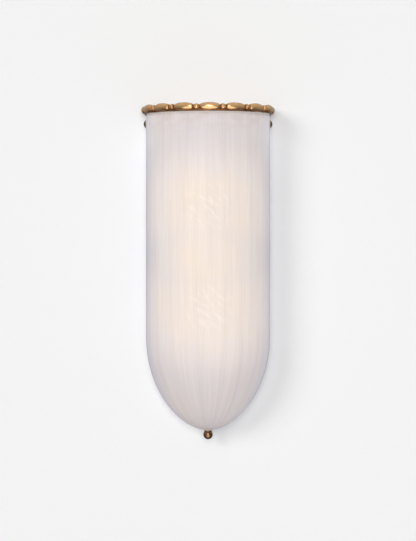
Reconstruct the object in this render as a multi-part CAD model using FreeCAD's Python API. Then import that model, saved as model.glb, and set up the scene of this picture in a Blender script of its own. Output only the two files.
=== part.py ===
"""Half-round wall sconce: an opal glass shade under a cast bead-and-reel band, with two lamps inside.

Frame: millimetres, +Z up, +X to the right of a viewer facing the wall, the room towards -Y.
The origin is on the wall, at the centre of the wall box that the mounting strap is screwed to.
"""

import FreeCAD, Part
import math
import os

V = FreeCAD.Vector
X, Y, Z = V(1, 0, 0), V(0, 1, 0), V(0, 0, 1)

# ---- Driving dimensions -------------------------------------------------------------------------

# Glass shade: a half-round in plan with straight returns to the wall, closed below by a rounded foot
AXIS_SETBACK = 22.0  # from the wall to the axis of the half-round
GLASS_RADIUS = 70.4
GLASS_WALL = 4.0
GLASS_BACK_GAP = 1.5  # the glass stops this far short of the wall
FOOT_START = -78.0  # height where the straight sides end
FOOT_DEPTH = 103.6  # from there to the lowest point, outside
FOOT_POWER = 1.88  # 2 would be an ellipse; less is more pointed
FOOT_STEPS = 8  # steps of the formula along each side of the foot
EYE_RADIUS = 3.0  # hole in the foot for the finial stud
EYE_LAND = 4.8  # radius of the ground flat round that hole
EYE_LAND_CUT = 0.3
SIDE_HOLE_RADIUS = 3.2  # hole in each side for a thumb screw

# Cast band of beads and reels
BAND_HEIGHT = 182.8  # bead centreline above the wall box
BEAD_RADIUS = 4.7
PITCHES_IN_HALF_ROUND = 7.6
BEAD_GAP = 7.9  # from bead to bead, where the reel and its rings are
BEAD_OVERHANG = 1.1  # bead centreline outside the face of the glass
MOTIF_SHIFT = 1.9  # the strip was bent a little off the middle of its centre bead
CORE_RADIUS = 2.2  # bottom of the grooves
REEL_RADIUS = 3.4
REEL_WIDTH = 3.6
REEL_BEVEL = 0.9
FILLET_RING_RADIUS = 2.75
FILLET_RING_WIDTH = 0.9
BAND_PLATE_THICKNESS = 3.0
BAND_PLATE_LIP = 1.3  # plate edge outside the bead centreline
BEAD_SINK = 0.1  # plate below the lowest point of a bead

# Collar inside the rim of the glass
COLLAR_GAP = 0.7  # between glass and collar
COLLAR_WALL = 1.2
COLLAR_HEIGHT = 22.0
COLLAR_BACK_GAP = 3.0
RIM_GASKET_THICKNESS = 1.0
RIM_GASKET_INSET = 0.4  # from each face of the glass

# Wall plate: a shallow pan, open to the wall
PAN_DEPTH = 12.0
PAN_WALL = 1.2
PAN_EDGE_RADIUS = 2.5

# Mounting strap and what is on it
STRAP_LENGTH = 108.0
STRAP_WIDTH = 16.0
STRAP_THICKNESS = 2.5
STRAP_CENTRE_HOLE = 5.0
BOX_SCREW_RADIUS = 2.3
BOX_ROUND_SPACING = 69.85
BOX_SLOT_SPACING = 88.9
BOX_SLOT_LENGTH = 7.4
STUD_SPACING = 54.0
STUD_RADIUS = 2.0
STUD_TIP = 4.4  # stud beyond the nut's seat
STUD_CLEARANCE = 0.3
STUD_WASHER_RADIUS = 4.6
STUD_WASHER_THICKNESS = 0.8
CAP_NUT_ACROSS = 8.0
CAP_NUT_HEX = 3.4
CAP_NUT_DOME = 3.2
GROUND_SCREW_X = 14.0
GROUND_SCREW_RADIUS = 1.7
GROUND_HEAD_RADIUS = 3.4
GROUND_HEAD_HEIGHT = 2.0

# Wire bushing in the wall plate
BUSHING_BORE = 6.0
BUSHING_BODY = 8.0
BUSHING_FLANGE = 9.6
BUSHING_FLANGE_THICKNESS = 1.2
BUSHING_LENGTH = 2.6  # behind the flange

# Arm that carries both lampholders
ARM_HEIGHT = 14.5
ARM_THICKNESS = 2.0
ARM_WIDTH = 22.0
ARM_FOOT = 27.0
LAMP_SETBACK = 48.0  # from the wall to the lamp axis
ARM_WIRE_HOLE = 5.6

# Lampholders and lamps, E12 candelabra
HOLDER_RADIUS = 12.0
HOLDER_RIM_RADIUS = 10.8
HOLDER_HEIGHT = 34.0
HOLDER_BORE = 7.0
HOLDER_FLOOR = 12.0
SHELL_WALL = 0.35
SHELL_HEIGHT = 18.0
SHELL_DROP = 2.0  # below the mouth of the lampholder
CONTACT_RADIUS = 3.4
CONTACT_THICKNESS = 0.9
NIPPLE_RADIUS = 4.8
NIPPLE_BORE = 3.2
NIPPLE_LENGTH = 18.0
LAMP_CAP_RADIUS = 5.95
LAMP_CAP_HEIGHT = 20.0
LAMP_INSULATOR_HEIGHT = 1.6
LAMP_CAP_NOSE = 5.2  # radius of the cap where its thread runs out at the insulator
LAMP_TIP_RADIUS = 2.0
LAMP_TIP_HEIGHT = 0.7
LAMP_SEAT_GAP = 0.1
GLOBE_RADIUS = 16.0
GLOBE_LENGTH = 75.0
GLOBE_NECK = 6.4
GLOBE_BELLY = 29.0  # height of the widest place
GLOBE_TIP_RADIUS = 4.0
GLOBE_WALL = 1.0

# Leads from the lampholders to the wall box
LEAD_RADIUS = 1.1
LEAD_SPREAD = 1.7  # each lead from the middle plane
LEAD_ROW = 1.5  # upper and lower pair in the bushing, from its axis
LOWER_LEAD_SLOPE = -0.8  # outward for each unit that a lower lead rises to the bushing
LEAD_BEND_SHARE = 0.45  # of the shorter run beside a bend that the bend takes up
LEAD_HOLE_HEIGHT = 5.0  # above the foot of the lampholder
LEAD_BITE = 1.5  # length inside the lampholder
LEAD_END_GAP = 0.3  # from the wall plane

# Finial at the foot of the glass
FINIAL_RADIUS = 5.3
FINIAL_COLLAR_RADIUS = 4.3
FINIAL_DROP = 4.9  # from the finial's seat to the centre of the ball
FINIAL_STUD_DEPTH = 7.8  # stud inside the ball
FINIAL_WASHER_RADIUS = 4.0
FINIAL_WASHER_THICKNESS = 0.8
SEAT_WASHER_THICKNESS = 1.0
FINIAL_BRACKET_WIDTH = 12.0
FINIAL_BRACKET_THICKNESS = 2.0
FINIAL_BRACKET_FOOT = 28.0
FINIAL_NUT_ACROSS = 7.0
FINIAL_NUT_HEIGHT = 3.2
FINIAL_TURNS = 8  # turns that free the finial from its nut

# Thumb screws in the sides of the glass
THUMB_Y = -17.0
THUMB_DROP = 15.8  # below the bead centreline
THUMB_HEAD_RADIUS = 4.7
THUMB_HEAD_HEIGHT = 2.4
THUMB_WASHER_RADIUS = 4.3
THUMB_WASHER_THICKNESS = 0.6
THUMB_SHANK_RADIUS = 2.0
THUMB_TURNS = 7  # turns that free a thumb screw from its nut
THUMB_NUT_ACROSS = 8.0
THUMB_NUT_THICKNESS = 3.5
GROMMET_LIP = 0.3  # grommet inside the collar gap

# Rivets, screw heads and fits
SLOT_WIDTH = 0.9
SLOT_DEPTH = 0.8
RIVET_RADIUS = 1.6
RIVET_HEAD_RADIUS = 2.9
RIVET_HEAD_HEIGHT = 1.2
RIVET_INSET = 5.0  # from the top of a strap to the nearer rivet
RIVET_EDGE = 0.3  # from a rivet head to the bend beside it
RIVET_PITCH = 11.0
THREAD_PITCH = 0.7
THREAD_CLEARANCE = 0.05  # stands for the play of a threaded fit
LEAST_FILLET = 0.2

# ---- Derived places -----------------------------------------------------------------------------

AXIS = V(0, -AXIS_SETBACK, 0)
BEAD_PATH_RADIUS = GLASS_RADIUS + BEAD_OVERHANG
BEAD_PITCH = BEAD_PATH_RADIUS * math.pi / PITCHES_IN_HALF_ROUND
BEAD_LENGTH = BEAD_PITCH - BEAD_GAP
BAND_PLATE_BOTTOM = BAND_HEIGHT - BEAD_RADIUS - BEAD_SINK
RIM_HEIGHT = BAND_PLATE_BOTTOM - RIM_GASKET_THICKNESS
COLLAR_RADIUS = GLASS_RADIUS - GLASS_WALL - COLLAR_GAP
PAN_HALF_WIDTH = COLLAR_RADIUS - COLLAR_WALL
PAN_INSET = GLASS_RADIUS - PAN_HALF_WIDTH
PAN_FRONT = -PAN_DEPTH
FOOT_BOTTOM = FOOT_START - FOOT_DEPTH
FOOT_INSIDE = FOOT_BOTTOM + GLASS_WALL
THUMB_HEIGHT = BAND_HEIGHT - THUMB_DROP
FINIAL_BRACKET_BOTTOM = FOOT_INSIDE + SEAT_WASHER_THICKNESS
FINIAL_NUT_BOTTOM = FINIAL_BRACKET_BOTTOM + FINIAL_BRACKET_THICKNESS
FINIAL_STUD_TOP = FINIAL_NUT_BOTTOM + FINIAL_TURNS * THREAD_PITCH
FINIAL_SEAT = FOOT_BOTTOM + EYE_LAND_CUT - FINIAL_WASHER_THICKNESS
THUMB_TIP = PAN_HALF_WIDTH - THUMB_TURNS * THREAD_PITCH
ARM_BOTTOM = ARM_HEIGHT - ARM_THICKNESS / 2
ARM_WIRE_HOLE_Y = (PAN_FRONT - LAMP_SETBACK + HOLDER_RADIUS) / 2  # midway, lampholders to plate
COLLAR_BOTTOM = BAND_PLATE_BOTTOM - COLLAR_HEIGHT
COLLAR_RIVET_Y = PAN_FRONT + PAN_EDGE_RADIUS + RIVET_HEAD_RADIUS + RIVET_EDGE
COLLAR_RIVET_GRIP = COLLAR_WALL + PAN_WALL
FAR = 1000.0  # longer than anything here
TOUCH = 0.01  # nearer than this counts as touching


# ---- Shared shapes ------------------------------------------------------------------------------


def rod(radius, start, direction, length):
    return Part.makeCylinder(radius, length, start, direction)


def tube(radius, bore, start, direction, length):
    return rod(radius, start, direction, length).cut(rod(bore, start, direction, length))


def hexagon(across, start, direction, length):
    """A hexagonal prism, its flats across apart."""
    corner = across / math.sqrt(3)
    angles = [math.radians(60 * i) for i in range(7)]
    outline = Part.makePolygon([V(corner * math.cos(a), corner * math.sin(a), 0) for a in angles])
    prism = Part.Face(outline).extrude(Z * length)
    prism.Placement = FreeCAD.Placement(start, FreeCAD.Rotation(Z, direction))
    return prism


def dome(radius, height, seat, direction):
    """A spherical cap of this base radius and height, standing on seat."""
    ball = (radius * radius + height * height) / (2 * height)
    sphere = Part.makeSphere(ball, seat + direction * (height - ball))
    return sphere.common(rod(radius, seat, direction, height))


def spun(points, base, direction):
    """A solid of revolution. Each point is (radius, distance along direction from base)."""
    face = Part.Face(Part.makePolygon([V(r, 0, h) for r, h in points + points[:1]]))
    solid = face.revolve(V(0, 0, 0), Z, 360)
    solid.Placement = FreeCAD.Placement(base, FreeCAD.Rotation(Z, direction))
    return solid


def face_within(edges):
    return Part.Face(Part.Wire(Part.sortEdges(edges)[0]))


def mirrored(shape):
    """The same shape on the other side of the middle plane."""
    return shape.mirror(V(0, 0, 0), X)


def foot_curve(inset, side):
    """One side of the shade's foot, inset from the outer face of the glass, in the plane of the axis."""
    radius, depth = GLASS_RADIUS - inset, FOOT_DEPTH - inset
    power = 2 / FOOT_POWER
    points = []
    for i in range(FOOT_STEPS + 1):
        angle = math.radians(90 * i / FOOT_STEPS)
        across = side * radius * max(math.cos(angle), 0) ** power
        points.append(AXIS + V(across, 0, FOOT_START - depth * math.sin(angle) ** power))
    points[-1].x = 0
    curve = Part.BSplineCurve()
    curve.interpolate(points, InitialTangent=-Z, FinalTangent=X * -side)
    return curve.toShape()


def silhouette(inset, top, plane_y):
    """The shade's outline as seen from the room, inset from the glass, as a face across plane_y."""
    radius = GLASS_RADIUS - inset
    right, left = AXIS + X * radius, AXIS - X * radius
    corners = [right + Z * FOOT_START, right + Z * top, left + Z * top, left + Z * FOOT_START]
    edges = [Part.makeLine(a, b) for a, b in zip(corners, corners[1:])]
    face = face_within(edges + [foot_curve(inset, -1), foot_curve(inset, 1)])
    face.translate(Y * (plane_y + AXIS_SETBACK))
    return face


def shade_body(inset, top, back):
    """The solid inside a face of the shade: half a turned form in front, its outline drawn back behind."""
    side = AXIS + X * (GLASS_RADIUS - inset)
    corners = [AXIS + Z * (FOOT_BOTTOM + inset), AXIS + Z * top, side + Z * top, side + Z * FOOT_START]
    edges = [Part.makeLine(a, b) for a, b in zip(corners, corners[1:])]
    half = face_within(edges + [foot_curve(inset, 1)]).revolve(AXIS, -Z, 180)
    behind = silhouette(inset, top, -AXIS_SETBACK).extrude(Y * (back + AXIS_SETBACK))
    return half.fuse(behind)


def plan_body(radius, bottom, top, back):
    """A prism with the shade's plan: a half-round in front of the axis, straight sides behind it."""
    left, right = AXIS - X * radius, AXIS + X * radius
    arc = Part.Arc(left, AXIS - Y * radius, right).toShape()
    sides = Part.makePolygon([right, V(radius, back, 0), V(-radius, back, 0), left])
    face = face_within([arc] + sides.Edges)
    face.translate(Z * bottom)
    return face.extrude(Z * (top - bottom))


def plan_ring(outer, inner, bottom, top, back):
    """A half-round ring with straight returns, open at the back."""
    return plan_body(outer, bottom, top, back).cut(plan_body(inner, bottom, top, back + FAR))


def rivet(seat, direction, grip):
    """A domed rivet: its head on seat, its shank through grip, and a closing head behind."""
    head = dome(RIVET_HEAD_RADIUS, RIVET_HEAD_HEIGHT, seat, direction)
    shank = rod(RIVET_RADIUS, seat, -direction, grip)
    tail = dome(RIVET_HEAD_RADIUS, RIVET_HEAD_HEIGHT, seat - direction * grip, -direction)
    return head.fuse([shank, tail])


def bend_at(before, corner, after):
    """(half the angle between two runs, radius of the bend that takes its share of the shorter run)."""
    half = (before - corner).getAngle(after - corner) / 2
    shorter = min(before.distanceToPoint(corner), after.distanceToPoint(corner))
    return half, LEAD_BEND_SHARE * shorter * math.tan(half)


def bent_rod(radius, corners):
    """A round rod along straight runs, joined by tangent arcs."""
    edges, start = [], corners[0]
    for before, corner, after in zip(corners, corners[1:], corners[2:]):
        half, bend = bend_at(before, corner, after)
        into, out = (before - corner).normalize(), (after - corner).normalize()
        setback = bend / math.tan(half)
        middle = corner + (into + out).normalize() * (bend / math.sin(half) - bend)
        first, last = corner + into * setback, corner + out * setback
        edges += [Part.makeLine(start, first), Part.Arc(first, middle, last).toShape()]
        start = last
    edges.append(Part.makeLine(start, corners[-1]))
    section = Part.Wire(Part.Circle(corners[0], corners[1] - corners[0], radius).toShape())
    return Part.Wire(edges).makePipeShell([section], True, False)


# ---- Shade and band -----------------------------------------------------------------------------


def glass_shade():
    back = -GLASS_BACK_GAP
    glass = shade_body(0, RIM_HEIGHT, back).cut(shade_body(GLASS_WALL, RIM_HEIGHT + FAR, back + FAR))
    eye = rod(EYE_RADIUS, AXIS + Z * FOOT_BOTTOM, Z, GLASS_WALL)
    land_below = rod(EYE_LAND, AXIS + Z * (FOOT_BOTTOM + EYE_LAND_CUT), -Z, GLASS_WALL)
    land_inside = rod(EYE_LAND, AXIS + Z * FOOT_INSIDE, Z, GLASS_WALL)
    side_holes = rod(SIDE_HOLE_RADIUS, V(-FAR / 2, THUMB_Y, THUMB_HEIGHT), X, FAR)
    return glass.cut(eye.fuse([land_below, land_inside])).cut(side_holes)


def rim_gasket():
    outer = GLASS_RADIUS - RIM_GASKET_INSET
    inner = GLASS_RADIUS - GLASS_WALL + RIM_GASKET_INSET
    return plan_ring(outer, inner, RIM_HEIGHT, BAND_PLATE_BOTTOM, -GLASS_BACK_GAP)


def band_place(along):
    """(point, heading) on the bead centreline, this far along it from the middle of the front."""
    quarter = BEAD_PATH_RADIUS * math.pi / 2
    turn = max(-quarter, min(quarter, along)) / BEAD_PATH_RADIUS
    beyond = along - turn * BEAD_PATH_RADIUS
    across = BEAD_PATH_RADIUS * math.sin(turn)
    out = BEAD_PATH_RADIUS * math.cos(turn)
    return AXIS + V(across, abs(beyond) - out, BAND_HEIGHT), turn


def band_section(along, radius):
    """A circle across the bead centreline."""
    point, turn = band_place(along)
    ring = Part.Wire(Part.Circle(V(0, 0, 0), X, radius).toShape())
    ring.Placement = FreeCAD.Placement(point, FreeCAD.Rotation(Z, math.degrees(turn)))
    return ring


def bead(middle):
    """One long bead, bent to the band's curve: an oval on the core."""
    sections = []
    for share in (-1, -0.88, -0.5, 0, 0.5, 0.88, 1):
        swell = math.sqrt(1 - share * share)
        radius = CORE_RADIUS + (BEAD_RADIUS - CORE_RADIUS) * swell
        sections.append(band_section(middle + share * BEAD_LENGTH / 2, radius))
    return Part.makeLoft(sections, True, False)


def reel(middle):
    """One reel on the core, its rim bevelled, with a fillet ring at each end of it."""
    point, turn = band_place(middle)
    end = REEL_WIDTH / 2
    ring_end = end + FILLET_RING_WIDTH
    rings = [(0, ring_end), (FILLET_RING_RADIUS, ring_end), (FILLET_RING_RADIUS, end)]
    upper = rings + [(REEL_RADIUS - REEL_BEVEL, end), (REEL_RADIUS, end - REEL_BEVEL)]
    lower = [(r, -h) for r, h in reversed(upper)]
    return spun(upper + lower, point, V(math.cos(turn), math.sin(turn), 0))


def band_core():
    """The round core under the beads: half a torus with a straight rod back to the wall at each end."""
    core = Part.makeTorus(BEAD_PATH_RADIUS, CORE_RADIUS, AXIS + Z * BAND_HEIGHT, Z)
    front = Part.makeBox(FAR, FAR, FAR, V(-FAR / 2, -AXIS_SETBACK - FAR, -FAR / 2))
    right_end = rod(CORE_RADIUS, AXIS + V(BEAD_PATH_RADIUS, 0, BAND_HEIGHT), Y, AXIS_SETBACK)
    return core.common(front).fuse([right_end, mirrored(right_end)])


def bead_band():
    """One casting: beads and reels on a core, over the flat plate that covers the rim of the glass."""
    reach = BEAD_PATH_RADIUS * math.pi / 2 + AXIS_SETBACK
    count = math.ceil(reach / BEAD_PITCH)
    reel_reach = REEL_WIDTH / 2 + FILLET_RING_WIDTH
    pieces = [band_core()]
    for i in range(-count, count + 1):
        middle = MOTIF_SHIFT + i * BEAD_PITCH
        if abs(middle) - BEAD_LENGTH / 2 < reach - CORE_RADIUS:
            pieces.append(bead(middle))
        between = middle + BEAD_PITCH / 2
        if abs(between) + reel_reach < reach:
            pieces.append(reel(between))
    plate_edge = BEAD_PATH_RADIUS + BAND_PLATE_LIP
    plate_top = BAND_PLATE_BOTTOM + BAND_PLATE_THICKNESS
    plate = plan_ring(plate_edge, PAN_HALF_WIDTH, BAND_PLATE_BOTTOM, plate_top, 0)
    room = Part.makeBox(FAR, FAR, FAR, V(-FAR / 2, -FAR, BAND_PLATE_BOTTOM))
    return plate.fuse(pieces).common(room)


# ---- Collar, wall plate and strap ---------------------------------------------------------------


def rivet_heights(top):
    """The heights of a pair of rivets near the top of a strap."""
    return [top - RIVET_INSET, top - RIVET_INSET - RIVET_PITCH]


def collar_rivet_places():
    """Where the right-hand collar rivets meet the outer face of the collar."""
    return [V(COLLAR_RADIUS, COLLAR_RIVET_Y, z) for z in rivet_heights(BAND_PLATE_BOTTOM)]


def shade_collar():
    collar = plan_ring(COLLAR_RADIUS, PAN_HALF_WIDTH, COLLAR_BOTTOM, BAND_PLATE_BOTTOM, -COLLAR_BACK_GAP)
    holes = [rod(THUMB_SHANK_RADIUS + STUD_CLEARANCE, V(-FAR / 2, THUMB_Y, THUMB_HEIGHT), X, FAR)]
    holes += [rod(RIVET_RADIUS, V(-FAR / 2, p.y, p.z), X, FAR) for p in collar_rivet_places()]
    return collar.cut(holes)


def collar_rivets():
    """Flush outside, where the glass passes, with a head inside the wall plate."""
    right = []
    for place in collar_rivet_places():
        shank = rod(RIVET_RADIUS, place, -X, COLLAR_RIVET_GRIP)
        head = dome(RIVET_HEAD_RADIUS, RIVET_HEAD_HEIGHT, place - X * COLLAR_RIVET_GRIP, -X)
        right.append(shank.fuse(head))
    return Part.makeCompound(right + [mirrored(r) for r in right])


def arm_rivet_places():
    return [V(0, PAN_FRONT - ARM_THICKNESS, z) for z in rivet_heights(ARM_BOTTOM + ARM_FOOT)]


def finial_rivet_places():
    top = FINIAL_BRACKET_BOTTOM + FINIAL_BRACKET_FOOT
    return [V(0, PAN_FRONT - FINIAL_BRACKET_THICKNESS, z) for z in rivet_heights(top)]


def pan_form(inset, top, back, front, edge_radius):
    """The wall plate's outer or inner form: the shade's outline with its front edge rounded."""
    form = silhouette(inset, top, back).extrude(Y * (front - back))
    return form.makeFillet(edge_radius, [e for e in form.Edges if e.BoundBox.YMax < front + TOUCH])


def wall_plate():
    outer = pan_form(PAN_INSET, BAND_PLATE_BOTTOM, 0, PAN_FRONT, PAN_EDGE_RADIUS)
    inner_radius = max(PAN_EDGE_RADIUS - PAN_WALL, LEAST_FILLET)
    inner_top = BAND_PLATE_BOTTOM - PAN_WALL
    hollow = pan_form(PAN_INSET + PAN_WALL, inner_top, PAN_DEPTH, PAN_FRONT + PAN_WALL, inner_radius)
    holes = [rod(BUSHING_BODY, V(0, PAN_FRONT, 0), Y, PAN_DEPTH)]
    holes += [rod(STUD_RADIUS + STUD_CLEARANCE, p + Y * PAN_FRONT, Y, PAN_DEPTH) for p in stud_places()]
    holes += [rod(RIVET_RADIUS, p, Y, PAN_DEPTH) for p in arm_rivet_places() + finial_rivet_places()]
    holes += [rod(RIVET_RADIUS, V(-FAR / 2, p.y, p.z), X, FAR) for p in collar_rivet_places()]
    return outer.cut(hollow).cut(holes)


def on_both_sides(across):
    """The two points on the wall, on the level of the wall box, this far apart."""
    return [V(-across / 2, 0, 0), V(across / 2, 0, 0)]


def stud_places():
    return on_both_sides(STUD_SPACING)


def strap_slot(centre, length, radius):
    """A slot along X through the strap, round-ended."""
    run = length / 2 - radius
    ends = [rod(radius, centre + X * x, -Y, STRAP_THICKNESS) for x in (-run, run)]
    middle = Part.makeBox(2 * run, STRAP_THICKNESS, 2 * radius, centre - V(run, STRAP_THICKNESS, radius))
    return middle.fuse(ends)


def mounting_strap():
    bar = strap_slot(V(0, 0, 0), STRAP_LENGTH, STRAP_WIDTH / 2)
    holes = [rod(STRAP_CENTRE_HOLE, V(0, 0, 0), -Y, STRAP_THICKNESS)]
    holes.append(rod(GROUND_SCREW_RADIUS, X * GROUND_SCREW_X, -Y, STRAP_THICKNESS))
    holes += [rod(STUD_RADIUS, p, -Y, STRAP_THICKNESS) for p in stud_places()]
    holes += [rod(BOX_SCREW_RADIUS, p, -Y, STRAP_THICKNESS) for p in on_both_sides(BOX_ROUND_SPACING)]
    holes += [strap_slot(p, BOX_SLOT_LENGTH, BOX_SCREW_RADIUS) for p in on_both_sides(BOX_SLOT_SPACING)]
    return bar.cut(holes)


def mounting_studs():
    length = PAN_DEPTH + STUD_WASHER_THICKNESS + STUD_TIP
    return Part.makeCompound([rod(STUD_RADIUS, p, -Y, length) for p in stud_places()])


def stud_washers():
    bore = STUD_RADIUS + STUD_CLEARANCE
    seats = [p + Y * PAN_FRONT for p in stud_places()]
    washers = [tube(STUD_WASHER_RADIUS, bore, p, -Y, STUD_WASHER_THICKNESS) for p in seats]
    return Part.makeCompound(washers)


def cap_nut(seat):
    """A domed nut with a blind bore, its hexagon chamfered by the cone of its corners."""
    corner = CAP_NUT_ACROSS / math.sqrt(3)
    flat = CAP_NUT_ACROSS / 2
    chamfer = corner - flat
    blank = [(0, 0), (corner, 0), (corner, CAP_NUT_HEX - chamfer), (flat, CAP_NUT_HEX), (0, CAP_NUT_HEX)]
    nut = hexagon(CAP_NUT_ACROSS, seat, -Y, CAP_NUT_HEX).common(spun(blank, seat, -Y))
    cap = dome(flat - chamfer, CAP_NUT_DOME, seat - Y * CAP_NUT_HEX, -Y)
    bore = rod(STUD_RADIUS + THREAD_CLEARANCE, seat, -Y, STUD_TIP + THREAD_CLEARANCE)
    return nut.fuse(cap).cut(bore)


def cap_nuts():
    face = PAN_FRONT - STUD_WASHER_THICKNESS
    return Part.makeCompound([cap_nut(p + Y * face) for p in stud_places()])


def slotted_head(radius, height, seat, direction):
    """A domed screw head with a screwdriver slot along Z."""
    head = dome(radius, height, seat, direction)
    corner = V(-SLOT_WIDTH / 2, -FAR / 2, height - SLOT_DEPTH)
    slot = Part.makeBox(SLOT_WIDTH, FAR, SLOT_DEPTH, corner)
    slot.Placement = FreeCAD.Placement(seat, FreeCAD.Rotation(Z.cross(direction), Z, direction, "ZYX"))
    return head.cut(slot)


def ground_screw():
    seat = V(GROUND_SCREW_X, -STRAP_THICKNESS, 0)
    head = slotted_head(GROUND_HEAD_RADIUS, GROUND_HEAD_HEIGHT, seat, -Y)
    return head.fuse(rod(GROUND_SCREW_RADIUS, seat, Y, STRAP_THICKNESS))


def wire_bushing():
    flange = rod(BUSHING_FLANGE, V(0, PAN_FRONT, 0), -Y, BUSHING_FLANGE_THICKNESS)
    body = rod(BUSHING_BODY, V(0, PAN_FRONT, 0), Y, BUSHING_LENGTH)
    return flange.fuse(body).cut(rod(BUSHING_BORE, V(0, -FAR / 2, 0), Y, FAR))


# ---- Arm, lampholders, lamps and leads ----------------------------------------------------------


def bent_strap(width, thickness, reach_y, leg_bottom, foot_height):
    """An L of flat strap: a level leg out to reach_y, round-ended, and a foot up the wall plate."""
    half = width / 2
    leg = Part.makeBox(width, PAN_FRONT - reach_y, thickness, V(-half, reach_y, leg_bottom))
    end = rod(half, V(0, reach_y, leg_bottom), Z, thickness)
    foot = Part.makeBox(width, thickness, foot_height, V(-half, PAN_FRONT - thickness, leg_bottom))
    strap = leg.fuse([end, foot]).removeSplitter()
    lowest = [e for e in strap.Edges if e.BoundBox.ZMax < leg_bottom + TOUCH]
    bend = [e for e in lowest if e.BoundBox.YMin > PAN_FRONT - TOUCH]
    top_edges = [e for e in strap.Edges if e.BoundBox.ZMin > leg_bottom + foot_height - TOUCH]
    corners = [e for e in top_edges if e.BoundBox.XLength < TOUCH]
    return strap.makeFillet(thickness, bend + corners)


def lamp_arm():
    arm = bent_strap(ARM_WIDTH, ARM_THICKNESS, -LAMP_SETBACK, ARM_BOTTOM, ARM_FOOT)
    holes = [rod(NIPPLE_RADIUS, V(0, -LAMP_SETBACK, -FAR / 2), Z, FAR)]
    holes.append(rod(ARM_WIRE_HOLE, V(0, ARM_WIRE_HOLE_Y, -FAR / 2), Z, FAR))
    holes += [rod(RIVET_RADIUS, p, Y, ARM_THICKNESS) for p in arm_rivet_places()]
    return arm.cut(holes)


def arm_rivets():
    grip = ARM_THICKNESS + PAN_WALL
    return Part.makeCompound([rivet(p, -Y, grip) for p in arm_rivet_places()])


def lamp_place(side):
    """(foot of the lampholder, direction) for the lamp above the arm, side 1, or below it, side -1."""
    return V(0, -LAMP_SETBACK, ARM_HEIGHT + side * ARM_THICKNESS / 2), Z * side


def nipple():
    """The threaded tube through the arm that both lampholders screw onto."""
    start = V(0, -LAMP_SETBACK, ARM_HEIGHT - NIPPLE_LENGTH / 2)
    return tube(NIPPLE_RADIUS, NIPPLE_BORE, start, Z, NIPPLE_LENGTH)


def lampholder(side):
    foot, up = lamp_place(side)
    chamfer = HOLDER_RADIUS - HOLDER_RIM_RADIUS
    shoulder = HOLDER_FLOOR
    outline = [
        (0, 0),
        (HOLDER_RADIUS - chamfer, 0),
        (HOLDER_RADIUS, chamfer),
        (HOLDER_RADIUS, shoulder),
        (HOLDER_RIM_RADIUS, shoulder + chamfer),
        (HOLDER_RIM_RADIUS, HOLDER_HEIGHT),
        (0, HOLDER_HEIGHT),
    ]
    body = spun(outline, foot, up)
    well = rod(HOLDER_BORE, foot + up * HOLDER_FLOOR, up, HOLDER_HEIGHT)
    threaded = rod(NIPPLE_RADIUS, foot, up, (NIPPLE_LENGTH - ARM_THICKNESS) / 2)
    lead_holes = [rod(LEAD_RADIUS, lead_start(side, across), Y, HOLDER_RADIUS) for across in (-1, 1)]
    return body.cut([well, threaded] + lead_holes)


def lead_start(side, across):
    """Where a lead begins, inside the round back of its lampholder."""
    foot, up = lamp_place(side)
    back = math.sqrt(HOLDER_RADIUS**2 - LEAD_SPREAD**2)
    return foot + up * LEAD_HOLE_HEIGHT + V(across * LEAD_SPREAD, back - LEAD_BITE, 0)


def screw_shell(side):
    foot, up = lamp_place(side)
    start = foot + up * (HOLDER_HEIGHT - SHELL_DROP - SHELL_HEIGHT)
    return tube(HOLDER_BORE, HOLDER_BORE - SHELL_WALL, start, up, SHELL_HEIGHT)


def centre_contact(side):
    foot, up = lamp_place(side)
    return rod(CONTACT_RADIUS, foot + up * HOLDER_FLOOR, up, CONTACT_THICKNESS)


def lamp_seat(side):
    """The tip of the lamp's cap when it is screwed home, and its direction."""
    foot, up = lamp_place(side)
    return foot + up * (HOLDER_FLOOR + CONTACT_THICKNESS + LAMP_SEAT_GAP), up


def lamp_tip(side):
    seat, up = lamp_seat(side)
    radius, height = LAMP_TIP_RADIUS, LAMP_TIP_HEIGHT
    return spun([(0, 0), (radius - height, 0), (radius, height), (0, height)], seat, up)


def lamp_insulator(side):
    seat, up = lamp_seat(side)
    top = LAMP_INSULATOR_HEIGHT
    shoulder = (LAMP_TIP_RADIUS + LAMP_CAP_NOSE) / 2
    profile = [(0, 0), (LAMP_TIP_RADIUS, 0), (shoulder, top / 3), (LAMP_CAP_NOSE, top), (0, top)]
    return spun(profile, seat + up * LAMP_TIP_HEIGHT, up)


def lamp_cap(side):
    seat, up = lamp_seat(side)
    bottom = seat + up * (LAMP_TIP_HEIGHT + LAMP_INSULATOR_HEIGHT)
    radius, nose, height = LAMP_CAP_RADIUS, LAMP_CAP_NOSE, LAMP_CAP_HEIGHT
    return spun([(0, 0), (nose, 0), (radius, radius - nose), (radius, height), (0, height)], bottom, up)


def arc_through(start, end, centre):
    """The arc from start to end about centre."""
    radius = start.distanceToPoint(centre)
    middle = centre + ((start + end) / 2 - centre).normalize() * radius
    return Part.Arc(start, middle, end).toShape()


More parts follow.
